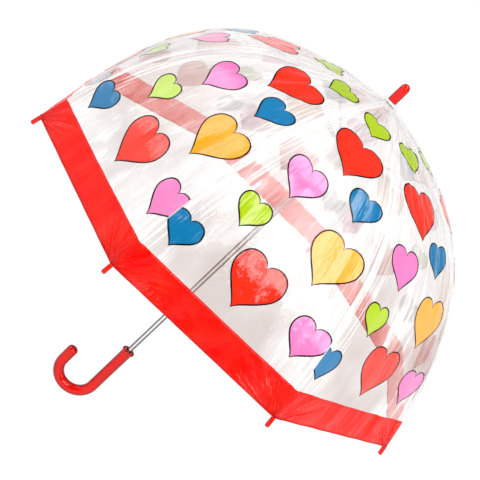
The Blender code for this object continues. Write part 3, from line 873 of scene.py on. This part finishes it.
def dress(node, mat, angle=35.0):
    """A CAD node that stays: its own material, smooth faces and crisp edges."""
    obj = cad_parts[node]
    for slot in obj.material_slots:
        slot.material = mat
    if not obj.material_slots:
        obj.data.materials.append(mat)
    obj.data.polygons.foreach_set("use_smooth", [True] * len(obj.data.polygons))
    edges = obj.modifiers.new("crisp_edges", "EDGE_SPLIT")
    edges.split_angle = math.radians(angle)


def dress_nodes():
    dress("shaft_tube", CHROME)
    for name in ("crown_notch", "crown_washer", "runner"):
        dress(name, WHITE)
    for name in ("notch_wire", "runner_wire", "top_catch", "bottom_catch"):
        dress(name, WIRE, 50.0)
    for k in range(RIBS):
        label = str(k + 1)
        dress("upper_rib_" + label, ROD, 50.0)
        dress("lower_rib_" + label, ROD, 50.0)
        dress("stretcher_" + label, WIRE, 50.0)


# ---- stage ---------------------------------------------------------------------------------
CAMERA_DISTANCE = 1.65
CAMERA_RISE = math.radians(19.02)
CAMERA_TURN = math.radians(-98.09)
CAMERA_ROLL = math.radians(46.52)
# Sensor width in millimetres, and focal length in sensor widths.
SENSOR = 36.0
FOCAL = 2.3620
# How far the aim is turned off the rim's centre, in radians.
AIM_OFF = (0.0074, 0.0118)

FLOOR_HALF = 90.0
# The background's brightness, faded along two axes of the direction: axis, start, end, first and
# last. It is white at the horizon, dimmer above, and dark only behind the camera, so that the film
# mirrors little but the lights.
WORLD_FADES = (("Z", 0.22, 0.50, 1.00, 0.20), ("Y", -0.80, -0.45, 0.12, 1.00))
LIGHT_AIM = (0.0, 0.0, 0.45)
# Name, place, size in metres, power in watts.
LIGHTS = (
    ("softbox", (0.60, -2.20, 2.44), (1.5, 2.7), 78.0),
    ("strip_left", (-2.89, 0.40, 2.00), (2.2, 2.2), 40.0),
    ("strip_right", (2.4, -1.2, 2.2), (0.2, 1.8), 9.0),
    ("overhead", (0.0, -0.4, 3.4), (1.6, 1.2), 30.0),
)


def build_camera():
    data = bpy.data.cameras.new("camera")
    data.sensor_width = SENSOR
    data.lens = SENSOR * FOCAL
    data.clip_start, data.clip_end = 0.05, 400.0
    cam = bpy.data.objects.new("camera", data)
    bpy.context.scene.collection.objects.link(cam)
    centre = Vector((0.0, 0.0, RIM_Z))
    flat = math.cos(CAMERA_RISE)
    side = (math.cos(CAMERA_TURN) * flat, math.sin(CAMERA_TURN) * flat)
    back = Vector((*side, math.sin(CAMERA_RISE)))
    level = (-back).to_track_quat("-Z", "Y")
    turn = level.to_matrix().to_4x4() @ Matrix.Rotation(CAMERA_ROLL, 4, "Z")
    nudge = Matrix.Rotation(-AIM_OFF[0], 4, "Y") @ Matrix.Rotation(AIM_OFF[1], 4, "X")
    cam.matrix_world = Matrix.Translation(centre + back * CAMERA_DISTANCE) @ turn @ nudge
    bpy.context.scene.camera = cam


def area_light(name, place, size, power):
    data = bpy.data.lights.new(name, "AREA")
    data.shape = "RECTANGLE"
    data.size, data.size_y = size
    data.energy = power
    lamp = bpy.data.objects.new(name, data)
    lamp.location = place
    lamp.rotation_euler = (Vector(LIGHT_AIM) - Vector(place)).to_track_quat("-Z", "Y").to_euler()
    bpy.context.scene.collection.objects.link(lamp)


def build_world():
    world = bpy.data.worlds.new("soft_white")
    world.use_nodes = True
    tree = world.node_tree
    background = tree.nodes["Background"]
    background.inputs["Color"].default_value = (1.0, 1.0, 1.0, 1.0)
    split = tree.nodes.new("ShaderNodeSeparateXYZ")
    direction = tree.nodes.new("ShaderNodeTexCoord").outputs["Generated"]
    tree.links.new(direction, split.inputs["Vector"])
    strength = tree.nodes.new("ShaderNodeMath")
    strength.operation = "MULTIPLY"
    for index, (axis, start, end, first, last) in enumerate(WORLD_FADES):
        light_and_shade_ramp = tree.nodes.new("ShaderNodeMapRange")
        light_and_shade_ramp.interpolation_type = "SMOOTHSTEP"
        light_and_shade_ramp.inputs["From Min"].default_value = start
        light_and_shade_ramp.inputs["From Max"].default_value = end
        light_and_shade_ramp.inputs["To Min"].default_value = first
        light_and_shade_ramp.inputs["To Max"].default_value = last
        tree.links.new(split.outputs[axis], light_and_shade_ramp.inputs["Value"])
        tree.links.new(light_and_shade_ramp.outputs["Result"], strength.inputs[index])
    tree.links.new(strength.outputs[0], background.inputs["Strength"])
    bpy.context.scene.world = world


def build_stage():
    """Pale floor, white surroundings, soft lights, and enough bounces for clear film in layers."""
    h = FLOOR_HALF
    corners = [(-h, -h, 0), (h, -h, 0), (h, h, 0), (-h, h, 0)]
    floor = new_object("floor", corners, [(0, 1, 2, 3)], floor_paper("floor_paper"), False)
    build_world()
    for light in LIGHTS:
        area_light(*light)
    scene = bpy.context.scene
    scene.view_settings.view_transform = "Standard"
    scene.cycles.transparent_max_bounces = 48
    scene.cycles.max_bounces = 16


build_camera()
build_stage()
build_handle()
build_ferrule()
build_tips()
dress_nodes()
for rib in range(RIBS):
    build_film(rib)
